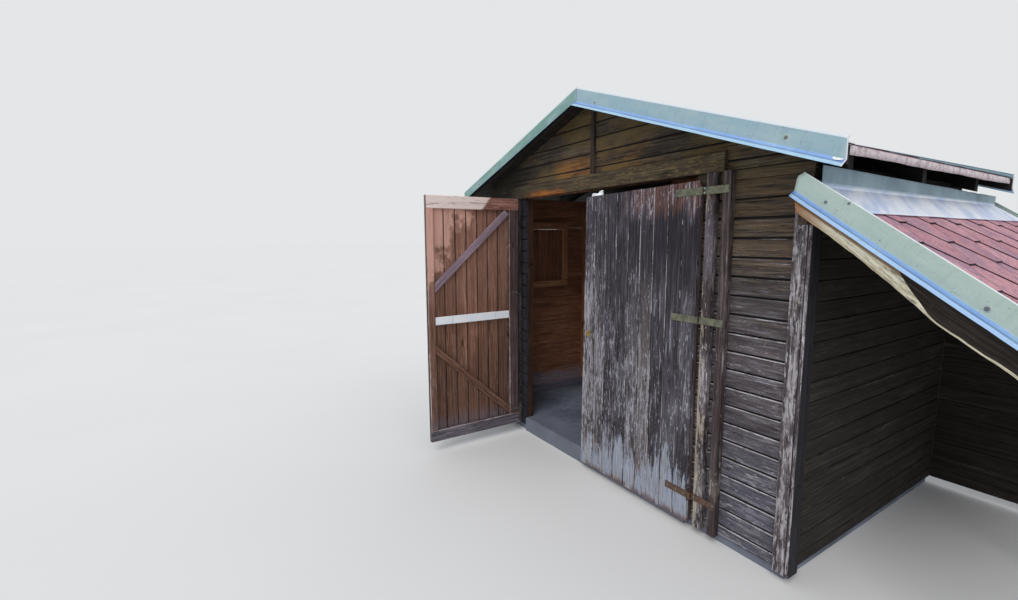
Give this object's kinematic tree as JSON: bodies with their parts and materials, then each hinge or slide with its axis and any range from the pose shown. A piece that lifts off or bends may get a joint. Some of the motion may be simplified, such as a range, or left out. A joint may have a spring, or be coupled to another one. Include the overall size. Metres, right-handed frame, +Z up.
{
  "type": "wooden garden shed",
  "caption": "Timber garden shed with a low gable roof, a double plank door standing half open, a boarded-up side window and an open woodshed lean-to on its right side.",
  "frame": {"origin": "underside of the floor slab, at the middle of the shed without its lean-to", "axes": "+Z up; +X to the right as seen from the front, towards the lean-to; +Y from the front with the doors to the back"},
  "size_m": [4.2752, 3.164, 2.7449],
  "materials": {
    "concrete": "worn and stained",
    "frame_timber": "sawn, darkened",
    "cladding": "weathered dark stain",
    "trim_boards": "weathered dark stain",
    "roof_boards": "sawn, darkened",
    "shingles": "mineral-coated bitumen felt",
    "metal_trim": "matt, dusty",
    "lean_timber": "sawn",
    "waney_timber": "greyed, with a pale waney edge",
    "hinge_iron": "galvanised, overpainted, dull",
    "brass": "tarnished",
    "right_leaf_wood": "weathered dark stain, bleached at the foot",
    "left_leaf_wood": "reddish stain",
    "painted_rail": "white paint"
  },
  "bodies": {
    "shed": {"floor": "concrete", "sill_beams": "frame_timber", "wall_posts": "frame_timber", "wall_plates": "frame_timber", "door_posts": "frame_timber", "door_header": "frame_timber", "front_wall_left": "cladding", "front_wall_right": "cladding", "front_gable": "cladding", "left_wall": "cladding", "right_wall": "cladding", "back_wall": "cladding", "corner_boards": "trim_boards", "head_board": "trim_boards", "gable_strip": "trim_boards", "hinge_uprights": "trim_boards", "door_casings": "trim_boards", "window_frame": "frame_timber", "window_shutter": "cladding", "ridge_beam": "frame_timber", "rafters": "frame_timber", "roof_deck_left": "roof_boards", "roof_deck_right": "roof_boards", "shingles_left": "shingles", "shingles_right": "shingles", "ridge_cap": "shingles", "barge_boards": "trim_boards", "front_verge_trim": "metal_trim", "back_verge_trim": "metal_trim", "lean_ledger": "lean_timber", "lean_rafters": "lean_timber", "lean_barge_rafter": "waney_timber", "lean_beam": "lean_timber", "lean_posts": "lean_timber", "lean_back_wall": "cladding", "lean_deck": "roof_boards", "lean_shingles": "shingles", "lean_front_trim": "metal_trim", "lean_back_trim": "metal_trim", "apron_flashing": "metal_trim", "upright_hinges": "hinge_iron"},
    "right_leaf": {"right_leaf_boards": "right_leaf_wood", "right_leaf_frame": "right_leaf_wood", "right_leaf_hinges": "hinge_iron", "lock_rose": "brass"},
    "left_leaf": {"left_leaf_boards": "left_leaf_wood", "left_leaf_frame": "left_leaf_wood", "left_leaf_rail": "painted_rail", "left_leaf_hinges": "hinge_iron"}
  },
  "joints": [
    {"name": "right_leaf_hinge", "type": "hinge", "parent": "shed", "child": "right_leaf", "pos_m": [0.932, -1.008, 1.274], "axis": [0, 0, 1], "range_deg": [0, 150]},
    {"name": "left_leaf_hinge", "type": "hinge", "parent": "shed", "child": "left_leaf", "pos_m": [-0.91, -1.008, 1.274], "axis": [0, 0, -1], "range_deg": [-90, 80]}
  ]
}
